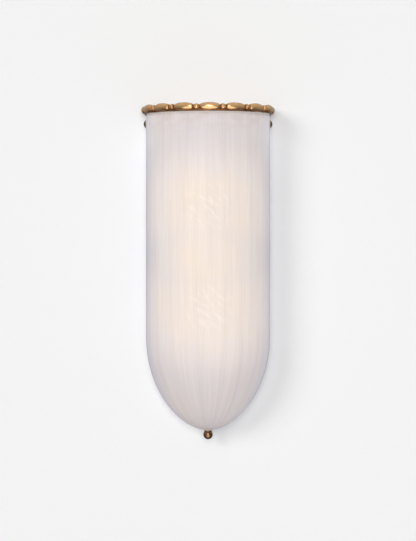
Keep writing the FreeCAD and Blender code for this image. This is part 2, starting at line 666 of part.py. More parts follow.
def torpedo(inset):
    """The form inside a face of the globe, on the origin: a flared neck, a full belly and a small round tip.

    Three tangent arcs. The two that meet at the belly have their centres on its level.
    """
    neck = V(GLOBE_NECK - inset, 0, 0)
    belly = V(GLOBE_RADIUS - inset, 0, GLOBE_BELLY)
    tip_radius = GLOBE_TIP_RADIUS - inset
    tip_centre = Z * (GLOBE_LENGTH - GLOBE_TIP_RADIUS)
    rise = belly - neck
    lower = belly - X * ((rise.x**2 + rise.z**2) / (2 * rise.x))
    climb = tip_centre.z - belly.z
    upper = belly - X * ((belly.x**2 + climb**2 - tip_radius**2) / (2 * (belly.x - tip_radius)))
    shoulder = tip_centre + (tip_centre - upper).normalize() * tip_radius
    top = tip_centre + Z * tip_radius
    arcs = [arc_through(neck, belly, lower), arc_through(belly, shoulder, upper)]
    arcs.append(arc_through(shoulder, top, tip_centre))
    inside = Part.makePolygon([top, V(0, 0, 0), neck])
    return face_within(arcs + inside.Edges).revolve(V(0, 0, 0), Z, 360)


def lamp_globe(side):
    """A torpedo globe, hollow and open into its cap."""
    seat, up = lamp_seat(side)
    neck = seat + up * (LAMP_TIP_HEIGHT + LAMP_INSULATOR_HEIGHT + LAMP_CAP_HEIGHT)
    globe = torpedo(0).cut(torpedo(GLOBE_WALL))
    globe.Placement = FreeCAD.Placement(neck, FreeCAD.Rotation(Z, up))
    return globe


def lead_route(side, across):
    """The corners of one lead: out of its lampholder, down or up past the arm, through the bushing."""
    start = lead_start(side, across)
    row = side * LEAD_ROW
    slope = 0 if side > 0 else (start.z - row) * -LOWER_LEAD_SLOPE
    top = V(start.x, ARM_WIRE_HOLE_Y - slope / 2, start.z)
    bottom = V(start.x, ARM_WIRE_HOLE_Y + slope / 2, row)
    return [start, top, bottom, V(start.x, -LEAD_END_GAP, row)]


def leads(across):
    return Part.makeCompound([bent_rod(LEAD_RADIUS, lead_route(side, across)) for side in (1, -1)])


# ---- Finial -------------------------------------------------------------------------------------


def finial_bracket():
    thickness = FINIAL_BRACKET_THICKNESS
    bracket = bent_strap(
        FINIAL_BRACKET_WIDTH, thickness, -AXIS_SETBACK, FINIAL_BRACKET_BOTTOM, FINIAL_BRACKET_FOOT
    )
    holes = [rod(STUD_RADIUS + STUD_CLEARANCE, AXIS - Z * FAR / 2, Z, FAR)]
    holes += [rod(RIVET_RADIUS, p, Y, thickness) for p in finial_rivet_places()]
    return bracket.cut(holes)


def finial_bracket_rivets():
    grip = FINIAL_BRACKET_THICKNESS + PAN_WALL
    return Part.makeCompound([rivet(p, -Y, grip) for p in finial_rivet_places()])


def finial_nut():
    place = AXIS + Z * FINIAL_NUT_BOTTOM
    nut = hexagon(FINIAL_NUT_ACROSS, place, Z, FINIAL_NUT_HEIGHT)
    return nut.cut(rod(STUD_RADIUS + THREAD_CLEARANCE, place, Z, FINIAL_NUT_HEIGHT))


def stud_washer(bottom, thickness):
    """A washer on the finial's stud."""
    return tube(FINIAL_WASHER_RADIUS, STUD_RADIUS + THREAD_CLEARANCE, AXIS + Z * bottom, Z, thickness)


def seat_washer():
    return stud_washer(FOOT_INSIDE, SEAT_WASHER_THICKNESS)


def finial_washer():
    return stud_washer(FINIAL_SEAT, FINIAL_WASHER_THICKNESS)


def finial_ball():
    seat = AXIS + Z * FINIAL_SEAT
    ball = Part.makeSphere(FINIAL_RADIUS, seat - Z * FINIAL_DROP)
    collar = rod(FINIAL_COLLAR_RADIUS, seat, -Z, FINIAL_DROP)
    below_seat = rod(FINIAL_RADIUS, seat, -Z, FAR)
    return ball.fuse(collar).common(below_seat).cut(rod(STUD_RADIUS, seat, -Z, FINIAL_STUD_DEPTH))


def finial_stud():
    bottom = FINIAL_SEAT - FINIAL_STUD_DEPTH
    return rod(STUD_RADIUS, AXIS + Z * bottom, Z, FINIAL_STUD_TOP - bottom)


# ---- Thumb screws, modelled on the right and mirrored to the left -----------------------------------


def thumb_place(across):
    return V(across, THUMB_Y, THUMB_HEIGHT)


def thumb_washer():
    bore = THUMB_SHANK_RADIUS + THREAD_CLEARANCE
    return tube(THUMB_WASHER_RADIUS, bore, thumb_place(GLASS_RADIUS), X, THUMB_WASHER_THICKNESS)


def thumb_screw():
    seat = thumb_place(GLASS_RADIUS + THUMB_WASHER_THICKNESS)
    head = slotted_head(THUMB_HEAD_RADIUS, THUMB_HEAD_HEIGHT, seat, X)
    return head.fuse(rod(THUMB_SHANK_RADIUS, thumb_place(THUMB_TIP), X, seat.x - THUMB_TIP))


def thumb_nut():
    place = thumb_place(PAN_HALF_WIDTH - THUMB_NUT_THICKNESS)
    nut = hexagon(THUMB_NUT_ACROSS, place, X, THUMB_NUT_THICKNESS)
    return nut.cut(rod(THUMB_SHANK_RADIUS + THREAD_CLEARANCE, place, X, THUMB_NUT_THICKNESS))


def hole_grommet():
    """A sleeve that keeps the screw off the glass; it stops short of the collar."""
    length = GLASS_WALL + GROMMET_LIP
    bore = THUMB_SHANK_RADIUS + THREAD_CLEARANCE
    return tube(SIDE_HOLE_RADIUS, bore, thumb_place(GLASS_RADIUS - length), X, length)


# ---- Build --------------------------------------------------------------------------------------


def nodes():
    """Every sub-part by name."""
    both_nuts = [thumb_nut(), mirrored(thumb_nut())]
    both_grommets = [hole_grommet(), mirrored(hole_grommet())]
    made = {
        "glass_shade": glass_shade(),
        "rim_gasket": rim_gasket(),
        "bead_band": bead_band(),
        "shade_collar": shade_collar(),
        "collar_rivets": collar_rivets(),
        "wall_plate": wall_plate(),
        "mounting_strap": mounting_strap(),
        "mounting_studs": mounting_studs(),
        "stud_washers": stud_washers(),
        "cap_nuts": cap_nuts(),
        "ground_screw": ground_screw(),
        "wire_bushing": wire_bushing(),
        "lamp_arm": lamp_arm(),
        "arm_rivets": arm_rivets(),
        "lampholder_nipple": nipple(),
        "live_leads": leads(-1),
        "neutral_leads": leads(1),
        "finial_bracket": finial_bracket(),
        "finial_bracket_rivets": finial_bracket_rivets(),
        "finial_nut": finial_nut(),
        "seat_washer": seat_washer(),
        "finial_washer": finial_washer(),
        "finial_ball": finial_ball(),
        "finial_stud": finial_stud(),
        "thumb_nuts": Part.makeCompound(both_nuts),
        "hole_grommets": Part.makeCompound(both_grommets),
        "right_thumb_washer": thumb_washer(),
        "right_thumb_screw": thumb_screw(),
        "left_thumb_washer": mirrored(thumb_washer()),
        "left_thumb_screw": mirrored(thumb_screw()),
    }
    for word, side in (("upper", 1), ("lower", -1)):
        made[word + "_lampholder"] = lampholder(side)
        made[word + "_screw_shell"] = screw_shell(side)
        made[word + "_centre_contact"] = centre_contact(side)
        made[word + "_lamp_tip"] = lamp_tip(side)
        made[word + "_lamp_insulator"] = lamp_insulator(side)
        made[word + "_lamp_cap"] = lamp_cap(side)
        made[word + "_lamp_globe"] = lamp_globe(side)
    return made


def main():
    os.makedirs("parts", exist_ok=True)
    for name, shape in nodes().items():
        solids = shape.Solids
        if not solids or not all(s.isValid() and s.Volume > 0 for s in solids):
            raise RuntimeError(name + " is not made of valid solids")
        kept = solids[0] if len(solids) == 1 else Part.makeCompound(solids)
        kept.exportStep("parts/" + name + ".step")
        print(f"{name}: {len(solids)} solid(s), {kept.Volume / 1000:.2f} cm3")
    for side in (1, -1):
        route = lead_route(side, 1)
        radii = [bend_at(*corners)[1] for corners in zip(route, route[1:], route[2:])]
        print("bend radii of a lead:", ", ".join(f"{radius:.1f}" for radius in radii))


main()
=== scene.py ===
"""Looks of a half-round wall sconce: opal glass shade, bead-and-reel brass band, lamps and hardware.

Frame and units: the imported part's own frame, in metres. +Z is up and the room lies towards -Y.
"""

import bmesh
import bpy
import math
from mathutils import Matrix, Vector


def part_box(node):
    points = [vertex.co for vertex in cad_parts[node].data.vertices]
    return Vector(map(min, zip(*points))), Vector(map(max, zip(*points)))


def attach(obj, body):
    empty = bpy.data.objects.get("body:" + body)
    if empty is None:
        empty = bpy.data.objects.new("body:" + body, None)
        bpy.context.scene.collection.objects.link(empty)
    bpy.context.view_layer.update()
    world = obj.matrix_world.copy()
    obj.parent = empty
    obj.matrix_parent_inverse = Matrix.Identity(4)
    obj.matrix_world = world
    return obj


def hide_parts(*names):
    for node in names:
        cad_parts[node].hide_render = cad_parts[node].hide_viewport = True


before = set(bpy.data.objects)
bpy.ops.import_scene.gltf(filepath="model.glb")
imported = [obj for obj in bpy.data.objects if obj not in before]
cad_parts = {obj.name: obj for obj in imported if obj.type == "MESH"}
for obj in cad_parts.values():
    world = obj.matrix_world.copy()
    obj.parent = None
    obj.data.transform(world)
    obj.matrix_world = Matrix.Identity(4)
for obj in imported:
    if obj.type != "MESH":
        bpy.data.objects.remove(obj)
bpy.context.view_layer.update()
MM = 0.001
UP = Vector((0, 0, 1))
DOWN = Vector((0, 0, -1))
SIDEWAYS = Vector((1, 0, 0))

# ---- Sizes ----------------------------------------------------------------------------------------

# Those that the frame doesn't give as a box
AXIS_SETBACK = 22.0 * MM  # from the wall to the axis of the half round
BEAD_RADIUS = 4.7 * MM
BEAD_GAP = 7.9 * MM  # along the band, from the end of one bead to the next
PITCHES_IN_HALF_ROUND = 7.6
MOTIF_SHIFT = 1.9 * MM  # of the middle bead, to the right
CORE_RADIUS = 2.2 * MM
REEL_RADIUS = 3.4 * MM
REEL_WIDTH = 3.6 * MM
RING_RADIUS = 2.75 * MM
RING_WIDTH = 0.9 * MM
BEAD_OVERHANG = 1.1 * MM  # of the beads' middle line, past the outer face of the glass
PLATE_LIP = 1.3 * MM  # of the band's plate, past the beads' middle line
PLATE_THICKNESS = 3.0 * MM
GLASS_WALL = 4.0 * MM
FOOT_START = -78.0 * MM  # height from which the glass closes
FOOT_POWER = 1.88  # of the superellipse that closes it: 2 is an ellipse
FOOT_HOLE_RADIUS = 3.0 * MM

# Those that follow from the boxes of nodes
glass_low, glass_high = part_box("glass_shade")
band_low, band_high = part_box("bead_band")
GLASS_RADIUS = glass_high.x
GLASS_BACK = glass_high.y
RIM_HEIGHT = glass_high.z
FOOT_DEPTH = FOOT_START - glass_low.z
BEAD_PATH_RADIUS = GLASS_RADIUS + BEAD_OVERHANG
BEAD_HEIGHT = band_high.z - BEAD_RADIUS
BEAD_PITCH = BEAD_PATH_RADIUS * math.pi / PITCHES_IN_HALF_ROUND
PLATE_EDGE = BEAD_PATH_RADIUS + PLATE_LIP
PLATE_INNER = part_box("wall_plate")[1].x


def middle_of(node):
    low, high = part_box(node)
    return (low + high) / 2


def linked(name, data):
    """A new object in the scene."""
    obj = bpy.data.objects.new(name, data)
    bpy.context.scene.collection.objects.link(obj)
    return obj


# ---- Node trees -----------------------------------------------------------------------------------

FLOAT, INTEGER = "NodeSocketFloat", "NodeSocketInt"
VECTOR, COLOUR = "NodeSocketVector", "NodeSocketColor"
GEOMETRY, MATERIAL = "NodeSocketGeometry", "NodeSocketMaterial"
SHAPE_TREE, SHADER_TREE = "GeometryNodeTree", "ShaderNodeTree"
NODE_SPACING = 180
MIX_FIRST, MIX_SECOND, MIX_RESULT = 6, 7, 2  # the colour sockets of a Mix node


class Graph:
    """Adds nodes to a tree. Inputs take a value or another node's output."""

    def __init__(self, tree):
        self.tree = tree

    def add(self, kind, values=None, **settings):
        node = self.tree.nodes.new(kind)
        node.location = (NODE_SPACING * len(self.tree.nodes), 0)
        for key, value in settings.items():
            setattr(node, key, value)
        for key, value in (values or {}).items():
            self.feed(node.inputs[key], value)
        return node

    def feed(self, socket, value):
        if isinstance(value, bpy.types.NodeSocket):
            self.tree.links.new(value, socket)
        else:
            socket.default_value = value

    def math(self, operation, *values, clamp=False):
        settings = {"operation": operation, "use_clamp": clamp}
        return self.add("ShaderNodeMath", dict(enumerate(values)), **settings).outputs[0]

    def vector(self, x=0.0, y=0.0, z=0.0):
        return self.add("ShaderNodeCombineXYZ", {"X": x, "Y": y, "Z": z}).outputs[0]

    def split(self, vector):
        return self.add("ShaderNodeSeparateXYZ", {0: vector}).outputs

    def group(self, tree, values=None):
        kind = "GeometryNodeGroup" if tree.bl_idname == SHAPE_TREE else "ShaderNodeGroup"
        return self.add(kind, values, node_tree=tree).outputs

    def blend(self, share, first, second):
        """A colour between two colours."""
        values = {0: share, MIX_FIRST: first, MIX_SECOND: second}
        return self.add("ShaderNodeMix", values, data_type="RGBA").outputs[MIX_RESULT]

    def map(self, value, low, high, to_low=0.0, to_high=1.0, smooth=False):
        """A value moved from one range to another, and kept inside it."""
        values = {"Value": value, "From Min": low, "From Max": high, "To Min": to_low, "To Max": to_high}
        kind = "SMOOTHSTEP" if smooth else "LINEAR"
        return self.add("ShaderNodeMapRange", values, interpolation_type=kind).outputs[0]


def new_group(name, kind, inputs, outputs):
    """A node group with these sockets: (tree, graph, its inputs, what takes its outputs)."""
    tree = bpy.data.node_groups.new(name, kind)
    for word, socket, default in inputs:
        made = tree.interface.new_socket(word, in_out="INPUT", socket_type=socket)
        if default is not None:
            made.default_value = default
    for word, socket in outputs:
        tree.interface.new_socket(word, in_out="OUTPUT", socket_type=socket)
    graph = Graph(tree)
    return tree, graph, graph.add("NodeGroupInput").outputs, graph.add("NodeGroupOutput").inputs


def srgb(red, green, blue):
    """A colour given as it shows on a screen, 0 to 255, made linear by the standard sRGB curve."""
    values = [value / 255 for value in (red, green, blue)]
    return [v / 12.92 if v <= 0.04045 else ((v + 0.055) / 1.055) ** 2.4 for v in values] + [1.0]


# ---- Shared shader groups -------------------------------------------------------------------------


def blotches_group():
    """Soft patches: 0 to 1, about a half."""
    inputs = [
        ("Vector", VECTOR, None), ("Scale", FLOAT, 100.0), ("Detail", FLOAT, 3.0), ("Contrast", FLOAT, 1.5)]
    tree, g, given, result = new_group("blotches", SHADER_TREE, inputs, [("Value", FLOAT)])
    wanted = {word: given[word] for word in ("Vector", "Scale", "Detail")}
    noise = g.add("ShaderNodeTexNoise", wanted).outputs["Fac"]
    centred = g.math("SUBTRACT", noise, 0.5)
    g.feed(result["Value"], g.math("MULTIPLY_ADD", centred, given["Contrast"], 0.5, clamp=True))
    return tree


def patina_group():
    """Colour and roughness of an aged metal from how much it has been rubbed, and on the band's undersides
    from painted shade: 0 dark, 1 bright.
    """
    inputs = [
        ("Rubbed And Shaded", FLOAT, 0.5), ("Dark", COLOUR, None), ("Middle", COLOUR, None), ("Bright", COLOUR, None),
        ("Dull", FLOAT, 0.5), ("Polished", FLOAT, 0.2)]
    outputs = [("Color", COLOUR), ("Roughness", FLOAT)]
    tree, g, given, result = new_group("patina", SHADER_TREE, inputs, outputs)
    lower = g.map(given["Rubbed And Shaded"], 0.0, 0.5)
    upper = g.map(given["Rubbed And Shaded"], 0.5, 1.0)
    darker_half = g.blend(lower, given["Dark"], given["Middle"])
    g.feed(result["Color"], g.blend(upper, darker_half, given["Bright"]))
    g.feed(result["Roughness"], g.map(given["Rubbed And Shaded"], 0.0, 1.0, given["Dull"], given["Polished"]))
    return tree


def around_group():
    """Distance round the shade from the middle of its front, and height, both in metres."""
    inputs = [
        ("Position", VECTOR, None), ("Setback", FLOAT, AXIS_SETBACK), ("Radius", FLOAT, GLASS_RADIUS)]
    outputs = [("Around", FLOAT), ("Height", FLOAT)]
    tree, g, given, result = new_group("around_shade", SHADER_TREE, inputs, outputs)
    x, y, z = g.split(given["Position"])
    behind = g.math("ADD", y, given["Setback"])
    forward = g.math("MAXIMUM", g.math("MULTIPLY", behind, -1.0), 0.0)
    front = g.math("MULTIPLY", g.math("ARCTAN2", x, forward), given["Radius"])
    beyond = g.math("MULTIPLY", g.math("MAXIMUM", behind, 0.0), g.math("SIGN", x))
    g.feed(result["Around"], g.math("ADD", front, beyond))
    g.feed(result["Height"], z)
    return tree


def glow_group():
    """Light from one upright lamp on the glass round it: 1 nearest the lamp, 0 from Reach on."""
    inputs = [
        ("Position", VECTOR, None), ("Lamp", VECTOR, None), ("Half Length", FLOAT, 0.01),
        ("Nearest", FLOAT, 0.04), ("Reach", FLOAT, 0.1)]
    tree, g, given, result = new_group("lamp_glow", SHADER_TREE, inputs, [("Value", FLOAT)])
    ends = {0: given["Position"], 1: given["Lamp"]}
    x, y, z = g.split(g.add("ShaderNodeVectorMath", ends, operation="SUBTRACT").outputs[0])
    past_end = g.math("MAXIMUM", g.math("SUBTRACT", g.math("ABSOLUTE", z), given["Half Length"]), 0.0)
    nearest_way = {0: g.vector(x, y, past_end)}
    away = g.add("ShaderNodeVectorMath", nearest_way, operation="LENGTH").outputs["Value"]
    g.feed(result["Value"], g.map(away, given["Nearest"], given["Reach"], 1.0, 0.0, smooth=True))
    return tree


BLOTCHES, PATINA, AROUND, GLOW = blotches_group(), patina_group(), around_group(), glow_group()


def blotches(g, where, scale, detail=3.0, contrast=1.5):
    """Soft patches at a place, 0 to 1."""
    values = {"Vector": where, "Scale": scale, "Detail": detail, "Contrast": contrast}
    return g.group(BLOTCHES, values)[0]


def squeezed(g, place, times):
    """A place whose pattern is squeezed in height by so many times, so that its marks lie flatter."""
    return g.add("ShaderNodeVectorMath", {0: place, 1: (1.0, 1.0, times)}, operation="MULTIPLY").outputs[0]


def bump(g, shader, height, distance, strength):
    """Fine relief of a surface. Distance is its depth in metres."""
    values = {"Height": height, "Distance": distance, "Strength": strength}
    g.feed(shader.inputs["Normal"], g.add("ShaderNodeBump", values).outputs["Normal"])


def material(name, **values):
    """(material, graph, shader, object coordinates). Values name the shader's own inputs."""
    made = bpy.data.materials.new(name)
    made.use_nodes = True
    graph = Graph(made.node_tree)
    shader = made.node_tree.nodes["Principled BSDF"]
    for key, value in values.items():
        shader.inputs[key.replace("_", " ")].default_value = value
    return made, graph, shader, graph.add("ShaderNodeTexCoord").outputs["Object"]


# ---- Opal glass -----------------------------------------------------------------------------------

# Tones. Low and high are the dark and the pale streaks.
WARM_LOW, WARM_HIGH = srgb(206, 196, 193), srgb(222, 212, 208)
COOL_LOW, COOL_HIGH = srgb(201, 199, 208), srgb(214, 211, 219)
# Painted shade for the darker line along each side of the glass
OUTLINE_PAINTED_SHADE = srgb(180, 174, 180)
# Painted shade of the collar behind the glass, under the rim
RIM_PAINTED_SHADE = srgb(204, 190, 184)
STREAK_RUN = 0.03  # how much slower the streaks change down the glass than across it
STREAK_MIX = 0.5  # share of the fine and of the broad streaks
COOL_CLOUDS = 0.35  # how far clouds turn the warm front cool
RIM_SHADE_STRENGTH = 0.7  # strength of the painted shade of the collar, in clouds under the rim
RIM_ZONE = 0.030  # height of the zone that they fill
VEIN_SQUEEZE = 1.7  # how many times wider than high they are

# Distances round the shade from the middle of its front
COOL_START, COOL_END = 0.055, 0.1  # the front's warm tone turns cool
OUTLINE_START, OUTLINE_END = 0.094, 0.104  # the painted shade deepens to a line along each side
RETURN_START = 0.114  # from here the straight sides have the common tone again

# Light that comes through: where no lamp is near, by the collar, round a lamp, nearest a lamp, in flecks
UNLIT_GLOW = [0.02, 0.016, 0.016, 1.0]
COLLAR_GLOW = [0.15, 0.145, 0.148, 1.0]
PALE_GLOW = [0.212, 0.186, 0.168, 1.0]
LAMP_GLOW = [0.23, 0.174, 0.094, 1.0]
FLECK_GLOW = [0.36, 0.33, 0.27, 1.0]
LAMPS = ("upper", "lower")
FILAMENT_SHIFT = 17 * MM  # from the middle of a globe towards its cap
LAMP_HALF_LENGTH = 0.01
LAMP_NEAREST, LAMP_REACH = 0.042, 0.09  # distances from a lamp between which its light fades out
LAMP_CORE = 3.0  # how closely the warmest light keeps to a lamp
SIDE_SHARE = 0.8  # of the lamps' light, at the sides of the glass
STREAK_LEAST, STREAK_MOST = 0.94, 1.06  # how the streaks vary that light
COLLAR_LOW, COLLAR_TOP = 0.09, 0.015  # depths below the rim between which the collar's light grows
COLLAR_FRONT_SHARE = 0.4  # of the collar's light, at the front of the glass
FLECK_REACH = 0.0495  # distance from a lamp at which the flecks have faded out
FLECK_STRENGTH = 0.85
FLECK_RUN = 0.3  # how much slower the flecks change along their slant than across it
SLANT = math.sqrt(0.5)


def filament(word):
    """Where the light of a lamp comes from."""
    globe, cap = middle_of(word + "_lamp_globe"), middle_of(word + "_lamp_cap")
    return globe + (cap - globe).normalized() * FILAMENT_SHIFT


def glass_streaks(g, around, height):
    """Fine and broad streaks that run down the glass: 0 to 1."""
    flow = g.vector(around, g.math("MULTIPLY", height, STREAK_RUN))
    fine = blotches(g, flow, scale=620.0, detail=3.0, contrast=2.0)
    broad = blotches(g, flow, scale=120.0, detail=2.0, contrast=2.6)
    return g.math("ADD", g.math("MULTIPLY", fine, STREAK_MIX), g.math("MULTIPLY", broad, STREAK_MIX))


def glass_tone(g, place, streak, sideways, distance):
    """Streaked glass, warm in front and cool at the sides, with a painted shade line where front meets side.
    """
    cloud = blotches(g, place, scale=26.0, detail=3.0, contrast=2.2)
    coolness = g.math("MAXIMUM", sideways, g.math("MULTIPLY", cloud, COOL_CLOUDS))
    tone = g.blend(coolness, g.blend(streak, WARM_LOW, WARM_HIGH), g.blend(streak, COOL_LOW, COOL_HIGH))
    deepen = g.map(distance, OUTLINE_START, OUTLINE_END, smooth=True)
    recover = g.map(distance, OUTLINE_END, RETURN_START, 1.0, 0.0, smooth=True)
    return g.blend(g.math("MULTIPLY", deepen, recover), tone, OUTLINE_PAINTED_SHADE)


def rim_shaded(g, place, height, tone):
    """Brownish veined clouds under the rim: painted shade of the collar close behind the glass."""
    zone = g.map(height, RIM_HEIGHT - RIM_ZONE, RIM_HEIGHT, smooth=True)
    veins = blotches(g, squeezed(g, place, VEIN_SQUEEZE), scale=75.0, detail=5.0, contrast=5.0)
    return g.blend(g.math("MULTIPLY", g.math("MULTIPLY", zone, veins), RIM_SHADE_STRENGTH), tone, RIM_PAINTED_SHADE)


def painted_glint_marks(g, around, height):
    """Slanting marks of painted glints: 0 where there is none."""
    along = g.math("MULTIPLY", g.math("SUBTRACT", around, height), SLANT * FLECK_RUN)
    across = g.math("MULTIPLY", g.math("ADD", around, height), SLANT)
    marks = blotches(g, g.vector(along, across), scale=230.0, detail=3.0, contrast=4.0)
    return g.math("SUBTRACT", marks, 0.5, clamp=True)


def lamp_light(g, place, word, reach):
    """Light of one lamp on the glass, 1 to 0."""
    values = {
        "Position": place, "Lamp": filament(word), "Half Length": LAMP_HALF_LENGTH, "Nearest": LAMP_NEAREST,
        "Reach": reach}
    return g.group(GLOW, values)[0]


def glass_light(g, place, height, streak, sideways):
    """Light of both lamps that the glass spreads, over the dim light of the collar and the inside."""
    both = g.math("MINIMUM", g.math("ADD", *[lamp_light(g, place, word, LAMP_REACH) for word in LAMPS]), 1.0)
    facing = g.map(sideways, 0.0, 1.0, 1.0, SIDE_SHARE)
    streaked = g.map(streak, 0.0, 1.0, STREAK_LEAST, STREAK_MOST)
    uneven = g.math("MULTIPLY", g.math("MULTIPLY", both, facing), streaked)
    top = g.map(height, RIM_HEIGHT - COLLAR_LOW, RIM_HEIGHT - COLLAR_TOP, smooth=True)
    from_collar = g.math("MULTIPLY", top, g.map(sideways, 0.0, 1.0, COLLAR_FRONT_SHARE, 1.0))
    unlit = g.blend(from_collar, UNLIT_GLOW, COLLAR_GLOW)
    tint = g.blend(g.math("POWER", both, LAMP_CORE), PALE_GLOW, LAMP_GLOW)
    return g.blend(uneven, unlit, tint)


def opal_glass():
    made, g, shader, place = material(
        "opal_glass_finish", Roughness=0.36, Specular_IOR_Level=0.3, Emission_Strength=1.0)
    around, height = g.group(AROUND, {"Position": place})
    distance = g.math("ABSOLUTE", around)
    sideways = g.map(distance, COOL_START, COOL_END, smooth=True)
    streak = glass_streaks(g, around, height)
    tone = glass_tone(g, place, streak, sideways, distance)
    g.feed(shader.inputs["Base Color"], rim_shaded(g, place, height, tone))

    near_lamp = g.math("MAXIMUM", *[lamp_light(g, place, word, FLECK_REACH) for word in LAMPS])
    # Painted glints: bright slanting flecks of lamp light close to each lamp.
    painted_glint = g.math("MULTIPLY", g.math("MULTIPLY", near_lamp, painted_glint_marks(g, around, height)), FLECK_STRENGTH)
    light = glass_light(g, place, height, streak, sideways)
    g.feed(shader.inputs["Emission Color"], g.blend(painted_glint, light, FLECK_GLOW))
    bump(g, shader, streak, distance=0.1 * MM, strength=0.35)
    return made


# ---- Metals, coatings and lamp glass --------------------------------------------------------------

PATCH_SHARE, GRAIN_SHARE = 0.8, 0.2  # of patches and grain in how rubbed an even surface is
HIGH_SHARE, EVEN_SHARE = 0.75, 0.35  # of the high places and the even surface where a piece has both
STAIN_SHADE = 0.78  # how dark a stained place of a plated metal is
LINE_ROUGHNESS = (0.8, 1.25)  # how the fine lines of a plated metal vary its roughness
SKIN_ROUGHNESS = (0.85, 1.2)  # how the surface texture of a coating varies its roughness
PATCH_COARSENESS = 12  # how many times coarser the patches of a coating are than its surface texture
LAMP_TONES = srgb(250, 238, 218), srgb(255, 246, 230)
LAMP_LIGHTS = [1.1, 0.78, 0.46, 1.0], [1.25, 0.92, 0.6, 1.0]

# slot: (dark, middle and bright tone, dull and polished roughness, mesh attribute that says what is high and
# where painted shade darkens the undersides)
AGED_METALS = {
    "antique_brass": (srgb(66, 36, 20), srgb(200, 140, 90), srgb(252, 204, 148), 0.34, 0.16, "swell"),
    "aged_brass": (srgb(96, 66, 38), srgb(168, 126, 76), srgb(214, 172, 112), 0.5, 0.32, None),
    "dark_brass": (srgb(56, 36, 24), srgb(124, 92, 68), srgb(214, 168, 126), 0.2, 0.12, None),
}
# slot: (colour, roughness, scale of the fine lines, how many times they are longer round than up)
PLAIN_METALS = {
    "bright_brass": (srgb(232, 196, 112), 0.28, 500.0, 12),
    "zinc_steel": (srgb(204, 206, 204), 0.36, 400.0, 9),
    "lamp_solder": (srgb(186, 186, 182), 0.42, 900.0, 1),
    "lamp_metal": (srgb(214, 210, 200), 0.22, 500.0, 14),
}
# slot: (two tones, roughness, scale of the surface texture, its depth, clear coat)
COATINGS = {
    "white_enamel": (srgb(236, 236, 230), srgb(228, 228, 221), 0.3, 700.0, 0.03 * MM, 0.3),
    "green_paint": (srgb(40, 132, 66), srgb(30, 112, 52), 0.36, 900.0, 0.02 * MM, 0.0),
    "black_nylon": (srgb(38, 38, 40), srgb(48, 48, 49), 0.5, 1400.0, 0.04 * MM, 0.0),
    "clear_nylon": (srgb(228, 222, 208), srgb(214, 208, 196), 0.4, 900.0, 0.02 * MM, 0.0),
    "silicone": (srgb(236, 235, 228), srgb(222, 221, 214), 0.55, 800.0, 0.03 * MM, 0.0),
    "black_sleeve": (srgb(34, 34, 36), srgb(46, 45, 45), 0.5, 1100.0, 0.04 * MM, 0.0),
    "white_sleeve": (srgb(232, 229, 218), srgb(220, 216, 203), 0.5, 1100.0, 0.04 * MM, 0.0),
    "brown_phenolic": (srgb(64, 40, 28), srgb(78, 50, 34), 0.24, 600.0, 0.02 * MM, 0.4),
    "black_lamp_glass": (srgb(26, 26, 32), srgb(38, 36, 44), 0.12, 500.0, 0.01 * MM, 0.5),
}


def aged_metal(name, dark, middle, bright, dull, polished, high_places):
    """Metal that is rubbed bright in patches, and on its high places where an attribute names them; the
    band's attribute also holds painted shade on its undersides.
    """
    made, g, shader, place = material(name, Metallic=1.0)
    patch = blotches(g, place, scale=160.0, detail=5.0, contrast=1.4)
    grain = blotches(g, place, scale=1440.0, detail=3.0, contrast=1.6)
    rubbed = g.math("ADD", g.math("MULTIPLY", patch, PATCH_SHARE), g.math("MULTIPLY", grain, GRAIN_SHARE))
    if high_places:
        # The band's attribute holds wear on its high places and painted shade on the undersides of its
        # beads.
        high = g.add("ShaderNodeAttribute", attribute_name=high_places).outputs["Fac"]
        even = g.math("MULTIPLY", rubbed, EVEN_SHARE)
        rubbed = g.math("ADD", g.math("MULTIPLY", high, HIGH_SHARE), even, clamp=True)
    tones = {"Dark": dark, "Middle": middle, "Bright": bright}
    colour, roughness = g.group(PATINA, {"Rubbed And Shaded": rubbed, "Dull": dull, "Polished": polished, **tones})
    g.feed(shader.inputs["Base Color"], colour)
    g.feed(shader.inputs["Roughness"], roughness)
    bump(g, shader, grain, distance=0.04 * MM, strength=0.6)
    return made


def plain_metal(name, colour, roughness, line_scale, line_length):
    """Plated or rolled metal with fine lines round it and faint stains."""
    made, g, shader, place = material(name, Metallic=1.0)
    lines = blotches(g, squeezed(g, place, line_length), scale=line_scale, contrast=1.6)
    stain = blotches(g, place, scale=60.0, detail=4.0)
    darker = [value * STAIN_SHADE for value in colour[:3]] + [1.0]
    g.feed(shader.inputs["Base Color"], g.blend(stain, darker, colour))
    least, most = [roughness * share for share in LINE_ROUGHNESS]
    g.feed(shader.inputs["Roughness"], g.map(lines, 0.0, 1.0, least, most))
    bump(g, shader, lines, distance=0.02 * MM, strength=0.5)
    return made


def coated(name, colour, other, roughness, texture_scale, depth, coat):
    """Paint, enamel, plastic or rubber: two near colours in soft patches and a fine surface texture."""
    made, g, shader, place = material(name, Coat_Weight=coat)
    patch = blotches(g, place, scale=texture_scale / PATCH_COARSENESS)
    skin = blotches(g, place, scale=texture_scale, detail=2.0)
    g.feed(shader.inputs["Base Color"], g.blend(patch, colour, other))
    least, most = [roughness * share for share in SKIN_ROUGHNESS]
    g.feed(shader.inputs["Roughness"], g.map(skin, 0.0, 1.0, least, most))
    bump(g, shader, skin, distance=depth, strength=0.5)
    return made


def lamp_glass():
    """Frosted globe of a lamp that is lit."""
    made, g, shader, place = material("lamp_glass_finish", Roughness=0.22, Emission_Strength=1.0)
    patch = blotches(g, place, scale=40.0, detail=2.0)
    g.feed(shader.inputs["Base Color"], g.blend(patch, *LAMP_TONES))
    g.feed(shader.inputs["Emission Color"], g.blend(patch, *LAMP_LIGHTS))
    return made


